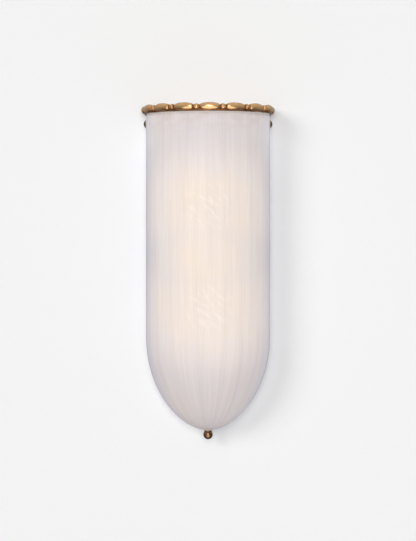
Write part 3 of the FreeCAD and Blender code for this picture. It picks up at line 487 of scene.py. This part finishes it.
def all_finishes():
    """Every material of the part, by the slot that it finishes."""
    made = {"opal_glass": opal_glass(), "lamp_glass": lamp_glass()}
    for maker, table in ((aged_metal, AGED_METALS), (plain_metal, PLAIN_METALS), (coated, COATINGS)):
        for slot, values in table.items():
            made[slot] = maker(slot + "_finish", *values)
    return made


FINISHES = all_finishes()


def finish_nodes():
    """Gives every node of the part the finish of its slot."""
    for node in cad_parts.values():
        slot = node.data.materials[0].name.split(".")[0]
        node.data.materials[0] = FINISHES[slot]


# ---- Pieces made by geometry nodes ----------------------------------------------------------------

BAND_COLUMNS, BAND_ROUNDS = 2200, 33
PLATE_COLUMNS, PLATE_ROUNDS = 260, 49
SHADE_COLUMNS, SHADE_ROWS = 261, 150
STRAIGHT_SHARE = 0.35  # of the shade's rows, above its foot
END_STRETCH = 3.0  # columns of a tube that are pressed against its two ends
LAST_COLUMN = 0.6  # in columns from the end of a tube: what lies nearer is its last column
BEAD_POWER, REEL_POWER, RING_POWER = 2.0, 5.0, 3.0  # how boxy a turned form is: 2 is an ellipse
PLATE_POWER = 0.22  # how far the plate's section is pulled from an ellipse to a rectangle: 1 is an ellipse
RUB_POWER = 0.7  # how far down from the crests the band is rubbed: lower goes further
UNDERSIDE_SHADE_DEEPEST, UNDERSIDE_SHADE_END = -1.0, -0.5  # sines of the angle round the beads between which the painted shade on their undersides fades out
BAND_WELD = 0.01 * MM
SHADE_WELD = 0.02 * MM


def plan_place_group():
    """A point by its distance round the shade's plan, its distance out from the axis, and its height."""
    inputs = [
        ("Along", FLOAT, 0.0), ("Plan Radius", FLOAT, 0.07), ("Out", FLOAT, 0.07),
        ("Setback", FLOAT, AXIS_SETBACK), ("Height", FLOAT, 0.0)]
    tree, g, given, result = new_group("plan_place", SHAPE_TREE, inputs, [("Position", VECTOR)])
    raw = g.math("DIVIDE", given["Along"], given["Plan Radius"])
    turn = g.math("MAXIMUM", g.math("MINIMUM", raw, math.pi / 2), -math.pi / 2)
    past = g.math("SUBTRACT", g.math("ABSOLUTE", raw), g.math("ABSOLUTE", turn))
    beyond = g.math("MULTIPLY", past, given["Plan Radius"])
    across = g.math("MULTIPLY", given["Out"], g.math("SINE", turn))
    forward = g.math("MULTIPLY", given["Out"], g.math("COSINE", turn))
    back = g.math("SUBTRACT", g.math("SUBTRACT", beyond, given["Setback"]), forward)
    g.feed(result["Position"], g.vector(across, back, given["Height"]))
    return tree


def bulge_group():
    """Radius of a turned form that swells from a core to Crest over Width, by distance from its middle."""
    inputs = [
        ("Distance", FLOAT, 0.0), ("Width", FLOAT, 0.01), ("Core", FLOAT, 0.002), ("Crest", FLOAT, 0.004),
        ("Power", FLOAT, 2.0)]
    tree, g, given, result = new_group("bulge", SHAPE_TREE, inputs, [("Radius", FLOAT)])
    share = g.math("DIVIDE", given["Distance"], g.math("MULTIPLY", given["Width"], 0.5))
    left = g.math("SUBTRACT", 1.0, g.math("POWER", share, given["Power"]))
    swell = g.math("SQRT", g.math("MAXIMUM", left, 0.0))
    rise = g.math("SUBTRACT", given["Crest"], given["Core"])
    g.feed(result["Radius"], g.math("MULTIPLY_ADD", rise, swell, given["Core"]))
    return tree


PLAN_PLACE, BULGE = plan_place_group(), bulge_group()


def grid(g, columns, rows):
    """(mesh, share along -0.5 to 0.5, share across -0.5 to 0.5) of a unit grid."""
    sizes = {"Size X": 1.0, "Size Y": 1.0, "Vertices X": columns, "Vertices Y": rows}
    mesh = g.add("GeometryNodeMeshGrid", sizes).outputs["Mesh"]
    x, y, _ = g.split(g.add("GeometryNodeInputPosition").outputs[0])
    return mesh, x, y


def ending(g, mesh, weld, finish):
    """Weld, shade smooth, real geometry, one material."""
    mesh = g.add("GeometryNodeMergeByDistance", {"Geometry": mesh, "Distance": weld}).outputs[0]
    mesh = g.add("GeometryNodeSetShadeSmooth", {"Geometry": mesh, "Shade Smooth": True}).outputs[0]
    mesh = g.add("GeometryNodeRealizeInstances", {"Geometry": mesh}).outputs[0]
    return g.add("GeometryNodeSetMaterial", {"Geometry": mesh, "Material": finish}).outputs[0]


def capped_along(g, share, reach, columns):
    """(distance along, 1 inside and 0 on the last column at each end, which closes the tube)."""
    stretch = g.math("ADD", 1.0, g.math("DIVIDE", END_STRETCH, columns))
    raw = g.math("MULTIPLY", g.math("MULTIPLY", share, 2.0), g.math("MULTIPLY", reach, stretch))
    along = g.math("MAXIMUM", g.math("MINIMUM", raw, reach), g.math("MULTIPLY", reach, -1.0))
    edge = g.math("SUBTRACT", 0.5, g.math("DIVIDE", LAST_COLUMN, columns))
    return along, g.math("LESS_THAN", g.math("ABSOLUTE", share), edge)


def band_piece(g, given, mesh, rubbed, along, out, up):
    """A grid with how rubbed it is, painted underside shade included, kept as swell, and its points moved to
    their places along the plan.
    """
    named = {"Geometry": mesh, "Name": "swell", "Value": rubbed}
    mesh = g.add("GeometryNodeStoreNamedAttribute", named, data_type="FLOAT", domain="POINT").outputs[0]
    plan = {"Plan Radius": given["Path Radius"], "Setback": given["Setback"]}
    spot = g.group(PLAN_PLACE, {"Along": along, "Out": out, "Height": up, **plan})[0]
    return g.add("GeometryNodeSetPosition", {"Geometry": mesh, "Position": spot}).outputs[0]


def whole_reel(g, given, steps, reach):
    """1 where the next reel and its rings have room on the band, 0 where its end would cut them."""
    reel_steps = g.math("ADD", g.math("FLOOR", steps), 0.5)
    reel_place = g.math("ABSOLUTE", g.math("MULTIPLY_ADD", reel_steps, given["Bead Pitch"], given["Shift"]))
    reel_end = g.math("MULTIPLY_ADD", given["Reel Width"], 0.5, given["Ring Width"])
    return g.math("LESS_THAN", g.math("ADD", reel_place, reel_end), reach)


def turned_radius(g, given, along, reach):
    """Radius of the turned core: beads, and between each two a reel with a thin ring on both sides."""
    pitch = given["Bead Pitch"]
    steps = g.math("DIVIDE", g.math("SUBTRACT", along, given["Shift"]), pitch)
    off = g.math("ABSOLUTE", g.math("SUBTRACT", steps, g.math("ROUND", steps)))
    from_bead = g.math("MULTIPLY", off, pitch)
    from_reel = g.math("SUBTRACT", g.math("MULTIPLY", pitch, 0.5), from_bead)
    ring_middle = g.math("MULTIPLY", g.math("ADD", given["Reel Width"], given["Ring Width"]), 0.5)
    from_ring = g.math("ABSOLUTE", g.math("SUBTRACT", from_reel, ring_middle))
    bead_width = g.math("SUBTRACT", pitch, given["Bead Gap"])
    forms = (
        (from_bead, bead_width, given["Bead Radius"], BEAD_POWER),
        (from_reel, given["Reel Width"], given["Reel Radius"], REEL_POWER),
        (from_ring, given["Ring Width"], given["Ring Radius"], RING_POWER),
    )
    radii = []
    for distance, width, crest, power in forms:
        form = {"Distance": distance, "Width": width, "Crest": crest, "Power": power}
        radii.append(g.group(BULGE, {"Core": given["Core Radius"], **form})[0])
    bead, reel, ring = radii
    between = g.math("MULTIPLY", g.math("MAXIMUM", reel, ring), whole_reel(g, given, steps, reach))
    return g.math("MAXIMUM", g.math("MAXIMUM", bead, between), given["Core Radius"])


def bead_mesh(g, given, reach):
    """The turned core as a closed tube, rubbed where it stands out, with painted shade on its undersides."""
    mesh, share, round_share = grid(g, given["Columns"], given["Rounds"])
    along, inside = capped_along(g, share, reach, given["Columns"])
    radius = turned_radius(g, given, along, reach)
    closed = g.math("MULTIPLY", radius, inside)
    angle = g.math("MULTIPLY", round_share, math.tau)
    out = g.math("MULTIPLY_ADD", closed, g.math("COSINE", angle), given["Path Radius"])
    up = g.math("MULTIPLY_ADD", closed, g.math("SINE", angle), given["Height"])
    swell = g.map(radius, given["Core Radius"], given["Reel Radius"])
    # Painted shade: the undersides of the beads and reels are kept dark.
    above = g.map(g.math("SINE", angle), UNDERSIDE_SHADE_DEEPEST, UNDERSIDE_SHADE_END)
    rubbed = g.math("MULTIPLY", g.math("POWER", swell, RUB_POWER), above)
    return band_piece(g, given, mesh, rubbed, along, out, up)


def plate_mesh(g, given, reach):
    """The flat plate under the beads as a closed tube with a rounded rectangle for its section."""
    mesh, share, round_share = grid(g, PLATE_COLUMNS, PLATE_ROUNDS)
    along, inside = capped_along(g, share, reach, float(PLATE_COLUMNS))
    angle = g.math("MULTIPLY_ADD", round_share, math.tau, math.pi / 4)  # the seam runs down a corner
    sides = []
    for wave, size in (("COSINE", given["Plate Width"]), ("SINE", given["Plate Thickness"])):
        value = g.math(wave, angle)
        pulled = g.math("POWER", g.math("ABSOLUTE", value), PLATE_POWER)
        squared = g.math("MULTIPLY", g.math("SIGN", value), pulled)
        sides.append(g.math("MULTIPLY", g.math("MULTIPLY", squared, inside), g.math("MULTIPLY", size, 0.5)))
    out = g.math("ADD", given["Plate Middle"], sides[0])
    up = g.math("ADD", given["Plate Height"], sides[1])
    return band_piece(g, given, mesh, 0.0, along, out, up)


def band_tree():
    """Beads, reels and thin rings turned on a core that follows the shade's plan, over a flat plate."""
    inputs = [
        ("Columns", INTEGER, 1300), ("Rounds", INTEGER, 33), ("Path Radius", FLOAT, 0.07),
        ("Setback", FLOAT, 0.02), ("Height", FLOAT, 0.18), ("Bead Radius", FLOAT, 0.005),
        ("Core Radius", FLOAT, 0.002), ("Bead Pitch", FLOAT, 0.03), ("Bead Gap", FLOAT, 0.008),
        ("Shift", FLOAT, 0.0), ("Reel Radius", FLOAT, 0.003), ("Reel Width", FLOAT, 0.004),
        ("Ring Radius", FLOAT, 0.003), ("Ring Width", FLOAT, 0.001), ("Plate Middle", FLOAT, 0.07),
        ("Plate Width", FLOAT, 0.008), ("Plate Thickness", FLOAT, 0.002), ("Plate Height", FLOAT, 0.18),
        ("Finish", MATERIAL, None)]
    tree, g, given, result = new_group("bead_and_reel", SHAPE_TREE, inputs, [("Geometry", GEOMETRY)])
    reach = g.math("ADD", g.math("MULTIPLY", given["Path Radius"], math.pi / 2), given["Setback"])
    joined = g.add("GeometryNodeJoinGeometry")
    for mesh in (plate_mesh(g, given, reach), bead_mesh(g, given, reach)):
        g.tree.links.new(mesh, joined.inputs[0])
    g.feed(result["Geometry"], ending(g, joined.outputs[0], BAND_WELD, given["Finish"]))
    return tree


def shade_profile(g, given, down_share):
    """(height, share of the full radius) of the shade, by the share of its rows down to there."""
    down = g.math("ADD", down_share, 0.5)
    drop = g.math("DIVIDE", down, given["Straight Share"], clamp=True)
    fall = g.math("SUBTRACT", given["Foot Start"], given["Rim Height"])
    straight = g.math("MULTIPLY_ADD", drop, fall, given["Rim Height"])
    bend = g.math("MULTIPLY", g.map(down, given["Straight Share"], 1.0), math.pi / 2)
    power = g.math("DIVIDE", 2.0, given["Foot Power"])
    narrow = g.math("POWER", g.math("MAXIMUM", g.math("COSINE", bend), 0.0), power)
    deep = g.math("POWER", g.math("SINE", bend), power)
    return g.math("SUBTRACT", straight, g.math("MULTIPLY", deep, given["Foot Depth"])), narrow


def shade_tree():
    """The outer face of the shade: its plan drawn down, closing at the foot by a superellipse."""
    inputs = [
        ("Columns", INTEGER, 260), ("Rows", INTEGER, 150), ("Radius", FLOAT, 0.07), ("Setback", FLOAT, 0.02),
        ("Back", FLOAT, 0.0015), ("Rim Height", FLOAT, 0.17), ("Foot Start", FLOAT, -0.08),
        ("Foot Depth", FLOAT, 0.1), ("Foot Power", FLOAT, 2.0), ("Straight Share", FLOAT, 0.35),
        ("Finish", MATERIAL, None)]
    tree, g, given, result = new_group("half_round_shade", SHAPE_TREE, inputs, [("Geometry", GEOMETRY)])
    mesh, share, down_share = grid(g, given["Columns"], given["Rows"])
    side = g.math("SUBTRACT", given["Setback"], given["Back"])
    reach = g.math("ADD", g.math("MULTIPLY", given["Radius"], math.pi / 2), side)
    along = g.math("MULTIPLY", g.math("MULTIPLY", share, 2.0), reach)
    height, narrow = shade_profile(g, given, down_share)
    out = g.math("MULTIPLY", narrow, given["Radius"])
    plan = {"Plan Radius": given["Radius"], "Setback": given["Setback"]}
    spot = g.group(PLAN_PLACE, {"Along": along, "Out": out, "Height": height, **plan})[0]
    mesh = g.add("GeometryNodeSetPosition", {"Geometry": mesh, "Position": spot}).outputs[0]
    mesh = g.add("GeometryNodeFlipFaces", {"Mesh": mesh}).outputs[0]
    g.feed(result["Geometry"], ending(g, mesh, SHADE_WELD, given["Finish"]))
    return tree


def modifier_inputs(modifier, values):
    """Sets a geometry nodes modifier's inputs by their names."""
    sockets = {item.name: item.identifier for item in modifier.node_group.interface.items_tree
               if item.item_type == "SOCKET" and item.in_out == "INPUT"}
    for name, value in values.items():
        modifier[sockets[name]] = value


def made_plain(obj):
    """Replaces an object's mesh by its evaluated one and drops the modifiers."""
    bpy.context.view_layer.update()
    evaluated = obj.evaluated_get(bpy.context.evaluated_depsgraph_get())
    mesh = bpy.data.meshes.new_from_object(evaluated)
    mesh.name = obj.name
    obj.modifiers.clear()
    obj.data = mesh


def piece_from(name, tree, values, more=None):
    """A plain mesh object made by a geometry nodes tree, and by what more adds to it."""
    obj = linked(name, bpy.data.meshes.new(name))
    modifier = obj.modifiers.new("shape", "NODES")
    modifier.node_group = tree
    modifier_inputs(modifier, values)
    if more:
        more(obj)
    made_plain(obj)
    return obj


def carried(obj, body, slot, *nodes):
    """Says which body a piece rides on and which nodes it stands for. Its slot argument is not used."""
    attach(obj, body)
    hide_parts(*nodes)


def bead_band():
    values = {
        "Columns": BAND_COLUMNS, "Rounds": BAND_ROUNDS, "Path Radius": BEAD_PATH_RADIUS,
        "Setback": AXIS_SETBACK, "Height": BEAD_HEIGHT, "Bead Radius": BEAD_RADIUS,
        "Core Radius": CORE_RADIUS, "Bead Pitch": BEAD_PITCH, "Bead Gap": BEAD_GAP, "Shift": MOTIF_SHIFT,
        "Reel Radius": REEL_RADIUS, "Reel Width": REEL_WIDTH, "Ring Radius": RING_RADIUS,
        "Ring Width": RING_WIDTH, "Plate Middle": (PLATE_EDGE + PLATE_INNER) / 2,
        "Plate Width": PLATE_EDGE - PLATE_INNER, "Plate Thickness": PLATE_THICKNESS,
        "Plate Height": band_low.z + PLATE_THICKNESS / 2, "Finish": FINISHES["antique_brass"],
    }
    carried(piece_from("bead_and_reel_band", band_tree(), values), "fixture", "antique_brass", "bead_band")


# ---- Glass shade ----------------------------------------------------------------------------------

HOLE_STEPS = 48
FOOT_CUT = 4 * GLASS_WALL  # lengths that go right through what is drilled
SIDE_CUT = 3 * GLASS_RADIUS


def aim(shape, direction, base):
    """Turns an upright bmesh to a direction and moves its origin to base."""
    shape.transform(UP.rotation_difference(direction).to_matrix().to_4x4())
    bmesh.ops.translate(shape, verts=shape.verts, vec=base)


def cutter(middle, axis, radius, length):
    """A hidden cylinder that a boolean modifier cuts with."""
    mesh = bpy.data.meshes.new("cutter")
    shape = bmesh.new()
    bmesh.ops.create_cone(
        shape, cap_ends=True, segments=HOLE_STEPS, radius1=radius, radius2=radius, depth=length)
    aim(shape, axis, middle)
    shape.to_mesh(mesh)
    shape.free()
    return linked("cutter", mesh)


def shade_cutters():
    """What drills the hole in the foot and the two holes for the side screws."""
    foot = Vector((0, -AXIS_SETBACK, glass_low.z))
    side = middle_of("hole_grommets")
    side_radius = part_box("hole_grommets")[1].z - side.z
    return cutter(foot, UP, FOOT_HOLE_RADIUS, FOOT_CUT), cutter(side, SIDEWAYS, side_radius, SIDE_CUT)


def glass_shade():
    cutters = shade_cutters()

    def thicken_and_drill(obj):
        shell = obj.modifiers.new("wall", "SOLIDIFY")
        shell.thickness = GLASS_WALL
        shell.offset = -1.0
        shell.use_even_offset = True
        for tool in cutters:
            hole = obj.modifiers.new("hole", "BOOLEAN")
            hole.object = tool
            hole.solver = "EXACT"

    values = {
        "Columns": SHADE_COLUMNS, "Rows": SHADE_ROWS, "Radius": GLASS_RADIUS, "Setback": AXIS_SETBACK,
        "Back": -GLASS_BACK, "Rim Height": RIM_HEIGHT, "Foot Start": FOOT_START, "Foot Depth": FOOT_DEPTH,
        "Foot Power": FOOT_POWER, "Straight Share": STRAIGHT_SHARE, "Finish": FINISHES["opal_glass"],
    }
    obj = piece_from("streaked_opal_shade", shade_tree(), values, thicken_and_drill)
    for tool in cutters:
        bpy.data.objects.remove(tool)
    carried(obj, "fixture", "opal_glass", "glass_shade")


# ---- Ball finial ----------------------------------------------------------------------------------

TURNING_STEPS = 96
SHARP_ANGLE = math.radians(32)
BALL_COLLAR = 4.3 * MM  # radius of the flat at the top of the ball
BALL_BORE = 2.0 * MM
BORE_DEPTH = 7.8 * MM
SOFT_EDGE = 0.35 * MM
SOFT_STEPS, BALL_STEPS = 6, 40


def turn_points(shape, radius, along):
    """The points of one full turn. On the axis they are all one point."""
    if radius == 0.0:
        return [shape.verts.new((0.0, 0.0, along))] * TURNING_STEPS
    turns = [math.tau * step / TURNING_STEPS for step in range(TURNING_STEPS)]
    return [shape.verts.new((radius * math.cos(turn), radius * math.sin(turn), along)) for turn in turns]


def turned_piece(name, profile, base, direction, finish):
    """A piece turned on a lathe. The profile's points are (radius, distance along direction from base)."""
    shape = bmesh.new()
    rings = [turn_points(shape, radius, along) for radius, along in profile]
    for ring, next_ring in zip(rings, rings[1:]):
        for step in range(TURNING_STEPS):
            after = (step + 1) % TURNING_STEPS
            corners = (ring[step], ring[after], next_ring[after], next_ring[step])
            shape.faces.new(list(dict.fromkeys(corners)))
    bmesh.ops.recalc_face_normals(shape, faces=shape.faces)
    aim(shape, direction, base)
    for face in shape.faces:
        face.smooth = True
    for edge in shape.edges:
        if len(edge.link_faces) == 2 and edge.calc_face_angle() > SHARP_ANGLE:
            edge.smooth = False
    mesh = bpy.data.meshes.new(name)
    shape.to_mesh(mesh)
    shape.free()
    mesh.materials.append(finish)
    return linked(name, mesh)


def arc(centre, radius, start, end, steps):
    """Profile points round a centre (radius, along), by angle in degrees from straight out."""
    angles = [math.radians(start + (end - start) * i / steps) for i in range(steps + 1)]
    return [(centre[0] + radius * math.cos(a), centre[1] + radius * math.sin(a)) for a in angles]


def finial_ball():
    """The ball hangs from its flat top, with the bore for its stud in the middle of it."""
    low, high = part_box("finial_ball")
    ball = (high.x - low.x) / 2
    length = high.z - low.z
    meet = math.degrees(math.acos(BALL_COLLAR / ball))
    profile = [(0.0, BORE_DEPTH), (BALL_BORE, BORE_DEPTH), (BALL_BORE, 0.0)]
    profile += arc((BALL_COLLAR - SOFT_EDGE, SOFT_EDGE), SOFT_EDGE, -90, 0, SOFT_STEPS)
    profile += arc((0.0, length - ball), ball, -meet, 90, BALL_STEPS)
    profile[-1] = (0.0, length)
    base = Vector(((low.x + high.x) / 2, (low.y + high.y) / 2, high.z))
    obj = turned_piece("ball_finial", profile, base, DOWN, FINISHES["dark_brass"])
    carried(obj, "finial", "dark_brass", "finial_ball")


# ---- Stage, light and camera ----------------------------------------------------------------------

WALL_GAP = 0.4 * MM
WALL_HALF = 4.0
WALL_TONE = 0.9
WALL_VARIETY = 0.996  # the darkest place of the wall against its palest
BACKGROUND = 0.905  # what the camera sees past the wall
AMBIENT = 0.35  # even light from all sides
REFLECTED_LOW, REFLECTED_HIGH = 0.15, 0.62  # the room in reflections, at its floor and its ceiling
ROOM_LOW, ROOM_HIGH = -0.7, 0.9  # heights of the direction between which it grows lighter
WINDOWS = (
    # direction, cosines of the angles from it at which the window begins and is at its full, brightness
    ((0.0, -0.8, -0.58), 0.66, 0.9, 1.1),
    ((0.0, -0.94, 0.3), 0.955, 0.983, 2.3),
)
KEY_LEFT, KEY_UP = math.radians(36), math.radians(16)  # of the key light, from the camera's direction
SUNS = {
    # name: (irradiance, softness in degrees, direction that it shines from)
    "front": (1.17, 24, (0, -1, 0.1)),
    "key": (0.947, 23, (-math.sin(KEY_LEFT), -math.cos(KEY_LEFT), math.tan(KEY_UP))),
    "right_side": (0.72, 3, (1, 0, 0)),
    "above": (0.9, 3, (0, 0, 1)),
    "below": (0.5, 3, (0, 0, -1)),
    "behind": (1.5, 20, (0, 1, 0)),
    "glint": (0.14, 9, (-0.03, -0.8, 0.29)),
}
SEEN_IN_GLOSS = "glint"  # the one sun that metal and glass reflect
CAMERA_DISTANCE = 3.022
FRAME_HEIGHT = 541  # in pixels
FOCAL_PIXELS = 2632  # focal length in pixels of that frame


def wall_paint():
    """Pale paint on the side towards the room, nothing on the other."""
    made, g, shader, place = material("wall_paint", Roughness=0.9, Specular_IOR_Level=0.0)
    patch = blotches(g, place, scale=3.0, detail=1.0)
    tones = [[WALL_TONE * share] * 3 + [1.0] for share in (1.0, WALL_VARIETY)]
    g.feed(shader.inputs["Base Color"], g.blend(patch, *tones))
    clear = g.add("ShaderNodeBsdfTransparent").outputs[0]
    back = g.add("ShaderNodeNewGeometry").outputs["Backfacing"]
    seen = g.add("ShaderNodeMixShader", {0: back, 1: shader.outputs[0], 2: clear})
    g.tree.links.new(seen.outputs[0], g.tree.nodes["Material Output"].inputs["Surface"])
    return made


def wall():
    """A plain pale wall, seen from the room only."""
    mesh = bpy.data.meshes.new("plain_wall")
    corners = [(x * WALL_HALF, WALL_GAP, z * WALL_HALF) for x, z in ((-1, -1), (1, -1), (1, 1), (-1, 1))]
    mesh.from_pydata(corners, [], [(0, 1, 2, 3)])
    mesh.materials.append(wall_paint())
    obj = linked("plain_wall", mesh)
    obj.visible_shadow = False
    obj.visible_glossy = False


def reflections(g, way):
    """What metal and glass reflect: a dim room with soft windows."""
    windows = 0.0
    for direction, edge, full, brightness in WINDOWS:
        aimed = {0: way, 1: tuple(Vector(direction).normalized())}
        facing = g.add("ShaderNodeVectorMath", aimed, operation="DOT_PRODUCT").outputs["Value"]
        windows = g.math("ADD", windows, g.map(facing, edge, full, 0.0, brightness, smooth=True))
    room = g.map(g.split(way)[2], ROOM_LOW, ROOM_HIGH, REFLECTED_LOW, REFLECTED_HIGH)
    return g.math("ADD", room, windows)


def sky():
    """Even light, a pale background, and reflections of their own."""
    world = bpy.data.worlds.new("studio")
    world.use_nodes = True
    bpy.context.scene.world = world
    g = Graph(world.node_tree)
    background = world.node_tree.nodes["Background"]
    reflected = reflections(g, g.add("ShaderNodeTexCoord").outputs["Generated"])
    path = g.add("ShaderNodeLightPath").outputs
    light = g.math("MULTIPLY_ADD", path["Is Glossy Ray"], g.math("SUBTRACT", reflected, AMBIENT), AMBIENT)
    shown = g.math("MULTIPLY", path["Is Camera Ray"], BACKGROUND)
    unseen = g.math("SUBTRACT", 1.0, path["Is Camera Ray"])
    g.feed(background.inputs["Strength"], g.math("MULTIPLY_ADD", light, unseen, shown))
    background.inputs["Color"].default_value = (1.0, 1.0, 1.0, 1.0)


def suns():
    """Soft lights. Those along the wall light the sides of the part and leave the wall as it is."""
    for name, (irradiance, softness, direction) in SUNS.items():
        made = bpy.data.lights.new(name, "SUN")
        made.energy = irradiance
        made.angle = math.radians(softness)
        lamp = linked(name, made)
        lamp.rotation_euler = Vector(direction).to_track_quat("Z", "Y").to_euler()
        lamp.visible_glossy = name == SEEN_IN_GLOSS


def camera():
    """Level and straight at the wall, at the height of the frame's origin."""
    lens = bpy.data.cameras.new("camera")
    lens.lens = FOCAL_PIXELS / FRAME_HEIGHT * lens.sensor_width
    eye = linked("camera", lens)
    eye.location = (0, -CAMERA_DISTANCE, 0)
    eye.rotation_euler = (math.pi / 2, 0, 0)
    bpy.context.scene.camera = eye


finish_nodes()
bead_band()
glass_shade()
finial_ball()
wall()
sky()
suns()
camera()
bpy.context.scene.view_settings.view_transform = "Standard"
